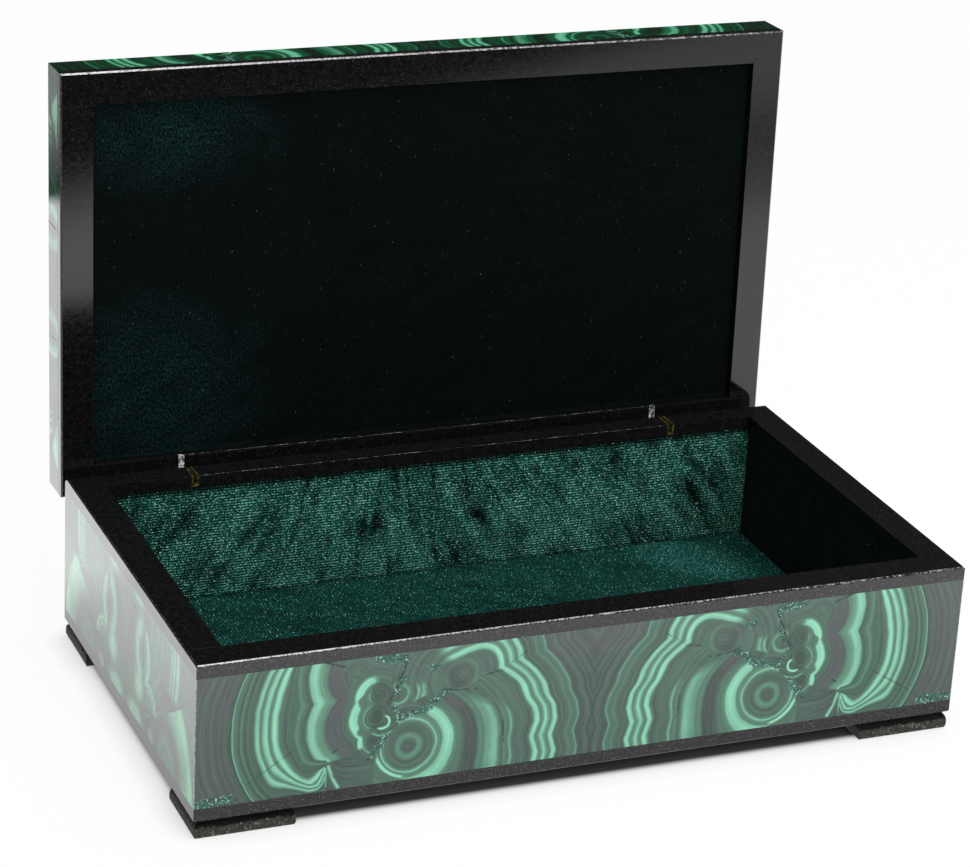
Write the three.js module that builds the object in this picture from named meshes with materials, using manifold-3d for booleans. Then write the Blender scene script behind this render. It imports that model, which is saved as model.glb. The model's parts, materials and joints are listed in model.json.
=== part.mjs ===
import * as THREE from "three";
import { mergeVertices } from "three/addons/utils/BufferGeometryUtils.js";
import Module from "manifold-3d";

// Malachite jewelry box, shown open. Millimetres, +Z up, +X along the width, the front at -Y.
// Each piece is drawn with the lid shut, from the top of the rear face: y = 0 is the rear
// face of the box and z = 0 the top of the black rails. The lid's group then turns open.

// Driving sizes
const boxWidth = 220;
const boxDepth = 124.5;
const bodyHeight = 44.5;
const railWidth = 9.3;
const railThickness = 3.8;
const floorSlabThickness = 3.8;
const facingThickness = 3;
const edgeChamfer = 0.45;

const cardThickness = 0.5;
const velvetThickness = 0.8;
const floorCardThickness = 1.4;
const floorVelvetThickness = 1;

const footLength = 27.6;
const footWidth = 21.6;
const footHeight = 5;
const footInset = 0.3;
const footTopBevel = 1;
const footTopBevelHeight = 1.7;
const footBottomChamfer = 0.4;

const lidDepth = 124.2;
const lidThickness = 12.75;
const lidBorderThickness = 3.25;
const lidRest = 0.3;
const lidCardThickness = 0.6;
const lidVelvetThickness = 0.6;
const glueLine = 0.1;
const lidOpenDegrees = 91.4;

// Hinges: a folded clevis in a sawn slot, a pin across it and a blade in the lid's kerf
const hingeSpacing = 149;
const hingeAxisIn = 2.2;
const hingeAxisDown = 6.1;
const slotWidth = 2;
const clevisStrip = 0.35;
const clevisFit = 0.05;
const pinDiameter = 1.2;
const pinFit = 0.03;
const bladeThickness = 1;
const bladeTipRadius = 1.6;
const bladeHoleFit = 0.09;
const tangWidth = 1.8;
const tangDepth = 5;
const kerfFit = 0.15;
const swingChamferDepth = 2.5;
const swingChamferHeight = 1.5;

const halfWidth = boxWidth / 2;
const front = -boxDepth;
const wallTop = -railThickness;
const slabTop = -bodyHeight + floorSlabThickness;
const coreThickness = railWidth - facingThickness - cardThickness - velvetThickness;
const hingeXs = [-hingeSpacing / 2, hingeSpacing / 2];

const wasm = await Module();
wasm.setup();

// Geometry helpers

function toSolid(geometry) {
  const plain = geometry.clone();
  plain.deleteAttribute("normal");
  plain.deleteAttribute("uv");
  const merged = mergeVertices(plain, 1e-4);
  const mesh = new wasm.Mesh({
    numProp: 3,
    vertProperties: new Float32Array(merged.attributes.position.array),
    triVerts: new Uint32Array(merged.index.array),
  });
  return new wasm.Manifold(mesh);
}

function toGeometry(solid) {
  const mesh = solid.getMesh();
  const geometry = new THREE.BufferGeometry();
  geometry.setAttribute("position", new THREE.BufferAttribute(mesh.vertProperties, 3));
  geometry.setIndex(new THREE.BufferAttribute(mesh.triVerts, 1));
  const flat = geometry.toNonIndexed();
  flat.computeVertexNormals();
  return flat;
}

function cut(geometry, ...tools) {
  let solid = toSolid(geometry);
  for (const tool of tools) {
    solid = solid.subtract(toSolid(tool));
  }
  return toGeometry(solid);
}

function common(geometry, other) {
  return toGeometry(toSolid(geometry).intersect(toSolid(other)));
}

function block(x0, x1, y0, y1, z0, z1) {
  const geometry = new THREE.BoxGeometry(x1 - x0, y1 - y0, z1 - z0);
  return geometry.translate((x0 + x1) / 2, (y0 + y1) / 2, (z0 + z1) / 2);
}

// A solid with six flat faces: rectangles [x0, x1, y0, y1] at the heights of its layers
function layered(layers) {
  const geometry = new THREE.BoxGeometry(1, 1, layers.length - 1, 1, 1, layers.length - 1);
  const position = geometry.attributes.position;
  for (let i = 0; i < position.count; i += 1) {
    const level = Math.round(position.getZ(i) + (layers.length - 1) / 2);
    const { rect, z } = layers[level];
    const x = position.getX(i) < 0 ? rect[0] : rect[1];
    const y = position.getY(i) < 0 ? rect[2] : rect[3];
    position.setXYZ(i, x, y, z);
  }
  geometry.computeVertexNormals();
  return geometry;
}

function inset(rect, d) {
  return [rect[0] + d, rect[1] - d, rect[2] + d, rect[3] - d];
}

// A plan outline in x and y, raised from z0 to z1
function raised(points, z0, z1) {
  const shape = new THREE.Shape(points.map(([x, y]) => new THREE.Vector2(x, y)));
  const geometry = new THREE.ExtrudeGeometry(shape, { depth: z1 - z0, bevelEnabled: false });
  return geometry.translate(0, 0, z0);
}

// A side profile in y and z, run along x from x0 to x1
function profileShape(points) {
  return new THREE.Shape(points.map(([y, z]) => new THREE.Vector2(y, z)));
}

function alongX(shape, x0, x1, curveSegments = 16) {
  const geometry = new THREE.ExtrudeGeometry(shape, {
    depth: x1 - x0,
    bevelEnabled: false,
    curveSegments,
  });
  const turn = new THREE.Matrix4().makeBasis(
    new THREE.Vector3(0, 1, 0),
    new THREE.Vector3(0, 0, 1),
    new THREE.Vector3(1, 0, 0),
  );
  return geometry.applyMatrix4(turn).translate(x0, 0, 0);
}

function mesh(name, geometry, material) {
  const result = new THREE.Mesh(geometry, new THREE.MeshStandardMaterial(material));
  result.name = name;
  return result;
}

// Materials
const blackStone = { color: 0x1c1c1d, roughness: 0.18, metalness: 0 };
const coreStone = { color: 0x3a3c3c, roughness: 0.6, metalness: 0 };
const malachite = { color: 0x17784a, roughness: 0.12, metalness: 0 };
const footStone = { color: 0x43463f, roughness: 0.55, metalness: 0 };
const velvet = { color: 0x0d4a3e, roughness: 0.95, metalness: 0 };
const lidVelvet = { color: 0x082a25, roughness: 0.95, metalness: 0 };
const card = { color: 0x8a8272, roughness: 0.9, metalness: 0 };
const brass = { color: 0x9a7a30, roughness: 0.35, metalness: 1 };
const steel = { color: 0xa8b0b0, roughness: 0.35, metalness: 1 };

// Hinge slot in the rear wall: shallow through the rail's inner edge, deep behind it
const slotMouth = 3.2;
const slotFloor = 8.4;
const slotFrontEnd = railWidth - cardThickness - velvetThickness;

function slotOutline(raise, reach) {
  return [
    [reach, 1],
    [-railWidth - reach, 1],
    [-railWidth - reach, -slotMouth + raise],
    [-slotFrontEnd + raise, -slotMouth + raise],
    [-slotFrontEnd + raise, -slotMouth - 1 + raise],
    [-slotFrontEnd + 1.5 + raise, -slotFloor + 2.1 + raise],
    [-hingeAxisIn - 2.2, -slotFloor + 0.4 + raise],
    [-hingeAxisIn, -slotFloor + raise],
    [reach, -slotFloor + raise],
  ];
}

const slots = hingeXs.map((x) =>
  alongX(profileShape(slotOutline(0, 1)), x - slotWidth / 2, x + slotWidth / 2),
);

// The rear top edge is cut back so that the lid swings past it
const swingChamfer = alongX(
  profileShape([
    [1, 1],
    [-swingChamferDepth - swingChamferDepth / swingChamferHeight, 1],
    [1, -swingChamferHeight - swingChamferHeight / swingChamferDepth],
  ]),
  -halfWidth - 1,
  halfWidth + 1,
);

const box = new THREE.Group();
const base = new THREE.Group();
const lid = new THREE.Group();

// Floor slab and feet
const plan = [-halfWidth, halfWidth, front, 0];
base.add(mesh(
  "base_floor_slab",
  layered([
    { rect: inset(plan, edgeChamfer), z: -bodyHeight },
    { rect: plan, z: -bodyHeight + edgeChamfer },
    { rect: plan, z: slabTop },
  ]),
  blackStone,
));

function foot(name, sideX, sideY) {
  const x0 = sideX < 0 ? -halfWidth + footInset : halfWidth - footInset - footLength;
  const y0 = sideY < 0 ? front + footInset : -footInset - footWidth;
  const rect = [x0, x0 + footLength, y0, y0 + footWidth];
  const underside = -bodyHeight - footHeight;
  const geometry = layered([
    { rect: inset(rect, footBottomChamfer), z: underside },
    { rect, z: underside + footBottomChamfer },
    { rect, z: -bodyHeight - footTopBevelHeight },
    { rect: inset(rect, footTopBevel), z: -bodyHeight },
  ]);
  base.add(mesh(name, geometry, footStone));
}
foot("foot_front_left", -1, -1);
foot("foot_front_right", 1, -1);
foot("foot_rear_left", -1, 1);
foot("foot_rear_right", 1, 1);

// Wall cores: the long ones run through, the short ones fit between them
const coreOut = facingThickness;
const coreIn = facingThickness + coreThickness;
base.add(mesh(
  "core_front",
  block(-halfWidth + coreOut, halfWidth - coreOut, front + coreOut, front + coreIn, slabTop, wallTop),
  coreStone,
));
base.add(mesh(
  "core_rear",
  cut(
    block(-halfWidth + coreOut, halfWidth - coreOut, -coreIn, -coreOut, slabTop, wallTop),
    ...slots,
  ),
  coreStone,
));
base.add(mesh(
  "core_left",
  block(-halfWidth + coreOut, -halfWidth + coreIn, front + coreIn, -coreIn, slabTop, wallTop),
  coreStone,
));
base.add(mesh(
  "core_right",
  block(halfWidth - coreIn, halfWidth - coreOut, front + coreIn, -coreIn, slabTop, wallTop),
  coreStone,
));

// Malachite facing: a mirrored pair on each side, mitred at the corners
function facing(name, outer, inner, ...tools) {
  const points = [outer[0], outer[1], inner[1], inner[0]];
  let panel = raised(points, slabTop, wallTop);
  if (tools.length > 0) {
    panel = cut(panel, ...tools);
  }
  base.add(mesh(name, panel, malachite));
}
const t = facingThickness;
const midY = front / 2;
facing("facing_front_left", [[-halfWidth, front], [0, front]], [[-halfWidth + t, front + t], [0, front + t]]);
facing("facing_front_right", [[0, front], [halfWidth, front]], [[0, front + t], [halfWidth - t, front + t]]);
facing("facing_rear_left", [[0, 0], [-halfWidth, 0]], [[0, -t], [-halfWidth + t, -t]], slots[0]);
facing("facing_rear_right", [[halfWidth, 0], [0, 0]], [[halfWidth - t, -t], [0, -t]], slots[1]);
facing("facing_left_front", [[-halfWidth, midY], [-halfWidth, front]], [[-halfWidth + t, midY], [-halfWidth + t, front + t]]);
facing("facing_left_rear", [[-halfWidth, 0], [-halfWidth, midY]], [[-halfWidth + t, -t], [-halfWidth + t, midY]]);
facing("facing_right_front", [[halfWidth, front], [halfWidth, midY]], [[halfWidth - t, front + t], [halfWidth - t, midY]]);
facing("facing_right_rear", [[halfWidth, midY], [halfWidth, 0]], [[halfWidth - t, midY], [halfWidth - t, -t]]);

// Top rails, pinwheel fashion, trimmed to one outline with small polished arrises
const railOutline = layered([
  { rect: plan, z: wallTop },
  { rect: plan, z: -edgeChamfer },
  { rect: inset(plan, edgeChamfer), z: 0 },
]);
function rail(name, rect, ...tools) {
  const bar = common(block(rect[0], rect[1], rect[2], rect[3], wallTop, 0), railOutline);
  base.add(mesh(name, tools.length > 0 ? cut(bar, ...tools) : bar, blackStone));
}
rail("rail_front", [-halfWidth, halfWidth - railWidth, front, front + railWidth]);
rail("rail_right", [halfWidth - railWidth, halfWidth, front, -railWidth]);
rail("rail_rear", [-halfWidth + railWidth, halfWidth, -railWidth, 0], swingChamfer, ...slots);
rail("rail_left", [-halfWidth, -halfWidth + railWidth, front + railWidth, 0], swingChamfer);

// Lining: covered cards on the walls and on the floor
const floorTop = slabTop + floorCardThickness + floorVelvetThickness;
base.add(mesh(
  "lining_floor_card",
  block(-halfWidth + coreIn, halfWidth - coreIn, front + coreIn, -coreIn, slabTop, slabTop + floorCardThickness),
  card,
));
base.add(mesh(
  "lining_floor_velvet",
  block(
    -halfWidth + coreIn, halfWidth - coreIn, front + coreIn, -coreIn,
    slabTop + floorCardThickness, floorTop,
  ),
  velvet,
));
const cardIn = coreIn + cardThickness;
const velvetIn = cardIn + velvetThickness;
function lining(side, cardRect, velvetRect) {
  base.add(mesh(
    `lining_${side}_card`,
    block(cardRect[0], cardRect[1], cardRect[2], cardRect[3], floorTop, wallTop),
    card,
  ));
  base.add(mesh(
    `lining_${side}_velvet`,
    block(velvetRect[0], velvetRect[1], velvetRect[2], velvetRect[3], floorTop, wallTop),
    velvet,
  ));
}
lining(
  "front",
  [-halfWidth + coreIn, halfWidth - coreIn, front + coreIn, front + cardIn],
  [-halfWidth + cardIn, halfWidth - cardIn, front + cardIn, front + velvetIn],
);
lining(
  "rear",
  [-halfWidth + coreIn, halfWidth - coreIn, -cardIn, -coreIn],
  [-halfWidth + cardIn, halfWidth - cardIn, -velvetIn, -cardIn],
);
lining(
  "left",
  [-halfWidth + coreIn, -halfWidth + cardIn, front + cardIn, -cardIn],
  [-halfWidth + cardIn, -halfWidth + velvetIn, front + velvetIn, -velvetIn],
);
lining(
  "right",
  [halfWidth - cardIn, halfWidth - coreIn, front + cardIn, -cardIn],
  [halfWidth - velvetIn, halfWidth - cardIn, front + velvetIn, -velvetIn],
);

// Hinge clevises and pins
function circle(radius, segmentsTurn = 0) {
  const path = new THREE.Path();
  path.absarc(-hingeAxisIn, -hingeAxisDown, radius, 0, Math.PI * 2, segmentsTurn === 0);
  return path;
}

function clevis(name, x) {
  const outside = alongX(profileShape(slotOutline(clevisFit, 0)), x - slotWidth / 2, x + slotWidth / 2);
  const cheekGap = slotWidth / 2 - clevisStrip;
  const channel = alongX(profileShape(slotOutline(clevisFit + clevisStrip, 1)), x - cheekGap, x + cheekGap);
  const above = block(x - slotWidth, x + slotWidth, -railWidth - 1, 1, 0, 2);
  const hole = new THREE.Shape(circle(pinDiameter / 2 + pinFit).getPoints(12));
  const bore = alongX(hole, x - slotWidth, x + slotWidth);
  base.add(mesh(name, cut(outside, above, swingChamfer, channel, bore), brass));
}
clevis("hinge_clevis_left", hingeXs[0]);
clevis("hinge_clevis_right", hingeXs[1]);

function pin(name, x) {
  const geometry = new THREE.CylinderGeometry(pinDiameter / 2, pinDiameter / 2, slotWidth, 16);
  geometry.rotateZ(Math.PI / 2);
  geometry.translate(x, -hingeAxisIn, -hingeAxisDown);
  base.add(mesh(name, geometry, steel));
}
pin("hinge_pin_left", hingeXs[0]);
pin("hinge_pin_right", hingeXs[1]);

// Lid, drawn shut: its inner face lies just above the rails
const lidFront = -lidDepth;
const lidInner = lidRest;
const borderTop = lidInner + lidBorderThickness;
const lidTop = lidInner + lidThickness;
const veneerUnder = lidTop - facingThickness;
const g = glueLine;

const tangOutline = [
  [-railWidth + 0.2, lidInner],
  [-0.25, lidInner],
  [-0.25, lidInner + lidBorderThickness - 0.85],
  [-facingThickness - 0.4, lidInner + lidBorderThickness - 0.85],
  [-facingThickness - 0.4, lidInner + tangDepth],
  [-facingThickness - 2, lidInner + tangDepth],
  [-railWidth + 1.7, lidInner + tangDepth - 1.4],
  [-railWidth + 0.2, lidInner + 1.2],
];
const kerfOutline = [
  [-railWidth - 0.01, lidInner - 1],
  [1, lidInner - 1],
  [1, lidInner + lidBorderThickness - 0.85 + kerfFit],
  [-facingThickness - 0.4 + kerfFit, lidInner + lidBorderThickness - 0.85 + kerfFit],
  [-facingThickness - 0.4 + kerfFit, lidInner + tangDepth + kerfFit],
  [-facingThickness - 2 - kerfFit, lidInner + tangDepth + kerfFit],
  [-railWidth + 1.7 - kerfFit, lidInner + tangDepth - 1.4 + kerfFit],
  [-railWidth - 0.01, lidInner + 1.2 + kerfFit],
];
const kerfs = hingeXs.map((x) =>
  alongX(profileShape(kerfOutline), x - tangWidth / 2, x + tangWidth / 2),
);

lid.add(mesh(
  "lid_core",
  cut(
    block(
      -halfWidth + t + g, halfWidth - t - g, lidFront + t + g, -t - g,
      borderTop + g, veneerUnder - g,
    ),
    ...kerfs,
  ),
  coreStone,
));

// Border strips round the inner face, pinwheel fashion like the rails
const lidPlan = [-halfWidth, halfWidth, lidFront, 0];
const borderOutline = layered([
  { rect: inset(lidPlan, edgeChamfer), z: lidInner },
  { rect: lidPlan, z: lidInner + edgeChamfer },
  { rect: lidPlan, z: borderTop },
]);
function border(name, rect, ...tools) {
  const bar = common(block(rect[0], rect[1], rect[2], rect[3], lidInner, borderTop), borderOutline);
  lid.add(mesh(name, tools.length > 0 ? cut(bar, ...tools) : bar, blackStone));
}
border("lid_border_front", [-halfWidth, halfWidth - railWidth, lidFront, lidFront + railWidth]);
border("lid_border_right", [halfWidth - railWidth, halfWidth, lidFront, -railWidth - g]);
border("lid_border_rear", [-halfWidth + railWidth, halfWidth, -railWidth, 0], ...kerfs);
border("lid_border_left", [-halfWidth, -halfWidth + railWidth, lidFront + railWidth + g, 0]);

// Malachite quarters of the outer face, bevelled to meet the edging
const lidMid = lidFront / 2;
const bevelGap = 1.5 * g;
function quarter(name, sideX, sideY) {
  const x = sideX < 0 ? [-halfWidth + bevelGap, 0] : [0, halfWidth - bevelGap];
  const y = sideY < 0 ? [lidFront + bevelGap, lidMid - g / 2] : [lidMid + g / 2, -bevelGap];
  const top = [x[0], x[1], y[0], y[1]];
  const under = [
    sideX < 0 ? x[0] + t : x[0],
    sideX < 0 ? x[1] : x[1] - t,
    sideY < 0 ? y[0] + t : y[0],
    sideY < 0 ? y[1] : y[1] - t,
  ];
  lid.add(mesh(name, layered([{ rect: under, z: veneerUnder }, { rect: top, z: lidTop }]), malachite));
}
quarter("lid_top_front_left", -1, -1);
quarter("lid_top_front_right", 1, -1);
quarter("lid_top_rear_left", -1, 1);
quarter("lid_top_rear_right", 1, 1);

// Malachite edging: mitred at the corners, its top bevelled under the quarters
function edging(name, outer, inner) {
  const geometry = new THREE.BoxGeometry(1, 1, 1);
  const position = geometry.attributes.position;
  for (let i = 0; i < position.count; i += 1) {
    const end = position.getX(i) < 0 ? 0 : 1;
    const face = position.getY(i) < 0 ? outer : inner;
    const up = position.getZ(i) > 0;
    const z = up ? (face === outer ? lidTop : veneerUnder) : borderTop + g;
    position.setXYZ(i, face[end][0], face[end][1], z);
  }
  geometry.computeVertexNormals();
  lid.add(mesh(name, geometry, malachite));
}
edging("lid_edge_front_left", [[-halfWidth + g, lidFront], [0, lidFront]], [[-halfWidth + t + g, lidFront + t], [0, lidFront + t]]);
edging("lid_edge_front_right", [[0, lidFront], [halfWidth - g, lidFront]], [[0, lidFront + t], [halfWidth - t - g, lidFront + t]]);
edging("lid_edge_right", [[halfWidth, lidFront], [halfWidth, 0]], [[halfWidth - t, lidFront + t], [halfWidth - t, -t]]);
edging("lid_edge_rear_right", [[halfWidth - g, 0], [0, 0]], [[halfWidth - t - g, -t], [0, -t]]);
edging("lid_edge_rear_left", [[0, 0], [-halfWidth + g, 0]], [[0, -t], [-halfWidth + t + g, -t]]);
edging("lid_edge_left", [[-halfWidth, 0], [-halfWidth, lidFront]], [[-halfWidth + t, -t], [-halfWidth + t, lidFront + t]]);

// Covered card in the recess of the inner face
const recess = inset(lidPlan, railWidth + g);
lid.add(mesh(
  "lid_lining_card",
  block(recess[0], recess[1], recess[2], recess[3], borderTop - lidCardThickness, borderTop),
  card,
));
lid.add(mesh(
  "lid_lining_velvet",
  block(
    recess[0], recess[1], recess[2], recess[3],
    borderTop - lidCardThickness - g - lidVelvetThickness, borderTop - lidCardThickness - g,
  ),
  lidVelvet,
));

// Hinge blades: a tang in the lid's kerf and a tongue down to the pin
function blade(name, x) {
  const tang = alongX(profileShape(tangOutline), x - tangWidth / 2, x + tangWidth / 2);
  const tongueShape = new THREE.Shape();
  tongueShape.moveTo(-hingeAxisIn + bladeTipRadius, lidInner + 1);
  tongueShape.lineTo(-hingeAxisIn - bladeTipRadius, lidInner + 1);
  tongueShape.lineTo(-hingeAxisIn - bladeTipRadius, -hingeAxisDown);
  tongueShape.absarc(-hingeAxisIn, -hingeAxisDown, bladeTipRadius, Math.PI, 2 * Math.PI, false);
  tongueShape.holes.push(circle(pinDiameter / 2 + bladeHoleFit));
  const tongue = alongX(tongueShape, x - bladeThickness / 2, x + bladeThickness / 2, 8);
  lid.add(mesh(name, toGeometry(toSolid(tang).add(toSolid(tongue))), steel));
}
blade("hinge_blade_left", hingeXs[0]);
blade("hinge_blade_right", hingeXs[1]);

// The lid turns about the pins, back from shut
const openAngle = THREE.MathUtils.degToRad(lidOpenDegrees);
for (const piece of lid.children) {
  piece.position.set(0, hingeAxisIn, hingeAxisDown);
}
lid.position.set(0, -hingeAxisIn, -hingeAxisDown);
lid.rotation.x = -openAngle;

// The origin is the middle of the underside of the open box
const lean = openAngle - Math.PI / 2;
const lidBack = -hingeAxisIn - hingeAxisIn * Math.sin(lean)
  + (lidTop + hingeAxisDown) * Math.cos(lean) + lidDepth * Math.sin(lean);
box.add(base, lid);
box.position.set(0, -(front + lidBack) / 2, bodyHeight + footHeight);

export default box;
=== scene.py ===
import bpy
import json
import math
import numpy as np
from mathutils import Matrix, Vector, noise


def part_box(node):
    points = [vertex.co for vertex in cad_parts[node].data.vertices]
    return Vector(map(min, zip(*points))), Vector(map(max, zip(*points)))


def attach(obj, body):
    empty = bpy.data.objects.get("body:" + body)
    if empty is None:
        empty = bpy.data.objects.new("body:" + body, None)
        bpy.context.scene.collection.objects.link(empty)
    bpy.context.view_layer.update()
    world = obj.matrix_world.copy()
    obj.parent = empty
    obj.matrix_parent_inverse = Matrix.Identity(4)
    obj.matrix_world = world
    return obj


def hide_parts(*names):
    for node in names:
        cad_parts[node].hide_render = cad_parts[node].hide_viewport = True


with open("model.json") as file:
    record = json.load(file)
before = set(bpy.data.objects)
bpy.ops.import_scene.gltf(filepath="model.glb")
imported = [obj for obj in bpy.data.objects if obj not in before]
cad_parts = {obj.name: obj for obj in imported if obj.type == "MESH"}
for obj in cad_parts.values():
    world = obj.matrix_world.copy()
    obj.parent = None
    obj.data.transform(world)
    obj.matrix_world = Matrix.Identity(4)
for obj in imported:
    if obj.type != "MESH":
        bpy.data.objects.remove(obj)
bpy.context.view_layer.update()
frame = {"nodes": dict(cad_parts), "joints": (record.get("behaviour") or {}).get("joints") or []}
nodes = frame["nodes"]
print("frame loaded:", len(nodes), "CAD nodes")

mm = 0.001
hinge = next(joint for joint in frame["joints"] if joint["name"] == "lid_hinge")
hingePoint = Vector(hinge["pos_m"])
openAngle = math.radians(hinge["range_deg"][1])
toHinge = Matrix.Translation(hingePoint)
closeLid = toHinge @ Matrix.Rotation(openAngle, 4, "X") @ toHinge.inverted()
openLid = closeLid.inverted()

# the closed base in plan, in mm
halfWidth, halfDepth, middleY = 110, 62, -10

# shader sums


class Field:  # a number that varies over a surface; + - * / add Math nodes
    def __init__(self, tree, socket):
        self.tree, self.socket = tree, socket

    def __add__(self, other):
        return calc("ADD", self, other)

    def __sub__(self, other):
        return calc("SUBTRACT", self, other)

    def __rsub__(self, other):
        return calc("SUBTRACT", other, self)

    def __mul__(self, other):
        return calc("MULTIPLY", self, other)

    def __truediv__(self, other):
        return calc("DIVIDE", self, other)

    __radd__, __rmul__ = __add__, __mul__


def plug(tree, value, socket):
    if isinstance(value, Field):
        tree.links.new(value.socket, socket)
    elif value is not None:
        socket.default_value = value


def calc(operation, first, second=None, clamp=False):
    parts = (first, second)
    tree = next(part.tree for part in parts if isinstance(part, Field))
    node = tree.nodes.new("ShaderNodeMath")
    node.operation, node.use_clamp = operation, clamp
    for part, socket in zip(parts, node.inputs):
        plug(tree, part, socket)
    return Field(tree, node.outputs[0])


def dial(node, values):
    for name, value in values.items():
        plug(node.id_data, value, node.inputs[name])


def gap(value, place):
    return calc("ABSOLUTE", value - place)


def least(*parts):
    result = parts[0]
    for part in parts[1:]:
        result = calc("MINIMUM", result, part)
    return result


def most(*parts):
    result = parts[0]
    for part in parts[1:]:
        result = calc("MAXIMUM", result, part)
    return result


def spread(value, fromLow, fromHigh, toLow=0.0, toHigh=1.0, smooth=False):
    node = value.tree.nodes.new("ShaderNodeMapRange")
    node.interpolation_type = "SMOOTHSTEP" if smooth else "LINEAR"
    for part, socket in zip((value, fromLow, fromHigh, toLow, toHigh), node.inputs):
        plug(value.tree, part, socket)
    return Field(value.tree, node.outputs[0])


def blendOf(amount, first, second):
    return first * (1 - amount) + second * amount


def arrow(operation, first, second=None, scale=None):
    tree = first.tree
    node = tree.nodes.new("ShaderNodeVectorMath")
    node.operation = operation
    plug(tree, first, node.inputs[0])
    plug(tree, second, node.inputs[1])
    if scale is not None:
        plug(tree, scale, node.inputs["Scale"])
    isNumber = operation in ("DISTANCE", "LENGTH", "DOT_PRODUCT")
    return Field(tree, node.outputs["Value" if isNumber else "Vector"])


def together(tree, x, y, z=0.0):
    node = tree.nodes.new("ShaderNodeCombineXYZ")
    for part, socket in zip((x, y, z), node.inputs):
        plug(tree, part, socket)
    return Field(tree, node.outputs[0])


def apart(vector):
    node = vector.tree.nodes.new("ShaderNodeSeparateXYZ")
    plug(vector.tree, vector, node.inputs[0])
    return [Field(vector.tree, socket) for socket in node.outputs]


def cloud(point, size, detail, rough=0.5, color=False, seed=0.0):  # size in the point's own unit
    node = point.tree.nodes.new("ShaderNodeTexNoise")
    node.noise_dimensions = "4D"
    dial(node, {"Vector": point, "W": seed, "Scale": 1.0 / size, "Detail": detail, "Roughness": rough})
    return Field(point.tree, node.outputs["Color" if color else "Fac"])


def cells(point, size, output="Distance"):
    node = point.tree.nodes.new("ShaderNodeTexVoronoi")
    dial(node, {"Vector": point, "Scale": 1.0 / size})
    return Field(point.tree, node.outputs[output])


def linear(code):
    parts = [int(code[i:i + 2], 16) / 255 for i in (1, 3, 5)]
    return [part / 12.92 if part <= 0.04045 else ((part + 0.055) / 1.055) ** 2.4 for part in parts] + [1.0]


def ramp(value, stops):  # stops: (place 0..1, colour code or tone)
    tree = value.tree
    node = tree.nodes.new("ShaderNodeValToRGB")
    plug(tree, value, node.inputs[0])
    elements = node.color_ramp.elements
    while len(elements) < len(stops):
        elements.new(0.5)
    for element, (place, shade) in zip(elements, stops):
        element.position = place
        element.color = linear(shade) if isinstance(shade, str) else (shade, shade, shade, 1.0)
    return Field(tree, node.outputs[0])


def mixColor(amount, first, second):
    tree = next(part.tree for part in (amount, first, second) if isinstance(part, Field))
    node = tree.nodes.new("ShaderNodeMix")
    node.data_type = "RGBA"
    plug(tree, amount, node.inputs[0])
    for part, socket in ((first, node.inputs[6]), (second, node.inputs[7])):
        plug(tree, linear(part) if isinstance(part, str) else part, socket)
    return Field(tree, node.outputs[2])


def newPattern(name):
    tree = bpy.data.node_groups.new(name, "ShaderNodeTree")
    for way, sockets in (("INPUT", ("u", "v")), ("OUTPUT", ("tone", "purple", "crystal", "crack"))):
        for socket in sockets:
            tree.interface.new_socket(name=socket, in_out=way, socket_type="NodeSocketFloat")
    entry, leave = tree.nodes.new("NodeGroupInput"), tree.nodes.new("NodeGroupOutput")
    return tree, [Field(tree, socket) for socket in entry.outputs[:2]], leave


def useGroup(group, *parts):
    tree = next(part.tree for part in parts if isinstance(part, Field))
    node = tree.nodes.new("ShaderNodeGroup")
    node.node_tree = group
    for part, socket in zip(parts, node.inputs):
        plug(tree, part, socket)
    return [Field(tree, socket) for socket in node.outputs]


def newMaterial(name):
    material = bpy.data.materials.new(name)
    material.use_nodes = True
    tree = material.node_tree
    shader = tree.nodes["Principled BSDF"]
    coordinates = tree.nodes.new("ShaderNodeTexCoord")
    return material, tree, shader, Field(tree, coordinates.outputs["Object"])


def lidFlat(point):  # turns the open lid's points to where they are with the lid shut
    node = point.tree.nodes.new("ShaderNodeMapping")
    dial(node, {"Vector": point, "Location": closeLid.translation, "Rotation": (openAngle, 0, 0)})
    return Field(point.tree, node.outputs[0])


def inMm(point):
    return arrow("SCALE", point, scale=1000.0)


def pastWalls(x, y):  # how far outside the base's walls, in mm
    return most(gap(x, 0) - halfWidth, gap(y, middleY) - halfDepth)


def relief(tree, shader, height, strength, depth):
    node = tree.nodes.new("ShaderNodeBump")
    dial(node, {"Strength": strength, "Distance": depth, "Height": height})
    tree.links.new(node.outputs[0], shader.inputs["Normal"])


def arrisOf(facing):  # 1 on the narrow bevels between the main faces, 0 elsewhere
    return spread(most(*apart(arrow("ABSOLUTE", facing))), 0.9, 0.985, 1.0, 0.0)


# camera, stage and light

camera = dict(
    place=(-336.09, -775.57, 418.65), azimuth=23.067, down=21.312, roll=3.137,
    lens=121.764, shiftX=0.00161, shiftY=-0.05982,
)


def makeCamera(c):
    a, e, r = (math.radians(c[key]) for key in ("azimuth", "down", "roll"))
    forward = Vector((math.sin(a) * math.cos(e), math.cos(a) * math.cos(e), -math.sin(e)))
    right = Vector((math.cos(a), -math.sin(a), 0))
    up = right.cross(forward)
    rolledRight = math.cos(r) * right + math.sin(r) * up
    rolledUp = -math.sin(r) * right + math.cos(r) * up
    data = bpy.data.cameras.new("camera")
    data.sensor_fit, data.sensor_width = "HORIZONTAL", 36
    data.lens, data.shift_x, data.shift_y = c["lens"], c["shiftX"], c["shiftY"]
    data.clip_start, data.clip_end = 0.02, 50
    obj = bpy.data.objects.new("camera", data)
    bpy.context.scene.collection.objects.link(obj)
    turn = Matrix((rolledRight, rolledUp, -forward)).transposed().to_4x4()
    obj.matrix_world = Matrix.Translation(Vector(c["place"]) * mm) @ turn
    bpy.context.scene.camera = obj


makeCamera(camera)

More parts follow.
